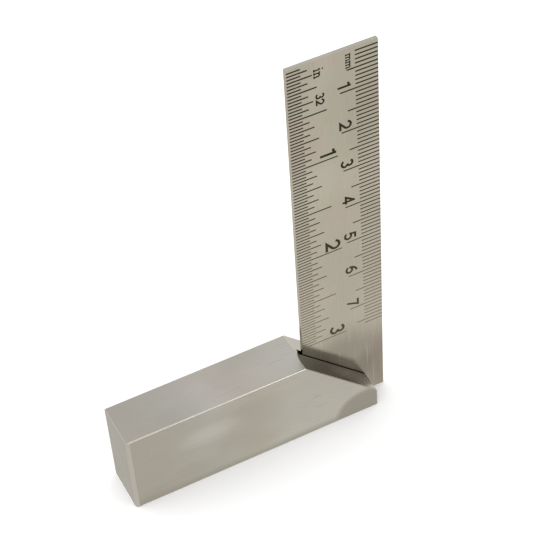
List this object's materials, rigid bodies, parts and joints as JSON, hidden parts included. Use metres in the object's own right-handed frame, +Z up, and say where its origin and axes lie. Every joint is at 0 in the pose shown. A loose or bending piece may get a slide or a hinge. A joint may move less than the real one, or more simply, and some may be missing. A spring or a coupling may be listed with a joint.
{
  "type": "steel square ruler",
  "caption": "Thin graduated steel blade let upright into the slotted end of a thick steel stock whose top slopes down at about 45 degrees to a blunt nose.",
  "frame": {"origin": "middle of the footprint, on the surface that the stock and the blade's lower end stand on", "axes": "+Z up along the blade, +X from the stock to the blade's outer edge, -Y the graduated side"},
  "size_m": [0.0644, 0.0116, 0.098],
  "materials": {
    "stock_steel": "satin ground steel",
    "blade_steel": "fine vertical brushed steel with dark etched graduations",
    "pin_steel": "ground pin end"
  },
  "bodies": {
    "root": {"stock": "stock_steel", "blade": "blade_steel", "dowel_pin_inner": "pin_steel", "dowel_pin_outer": "pin_steel"}
  },
  "joints": []
}
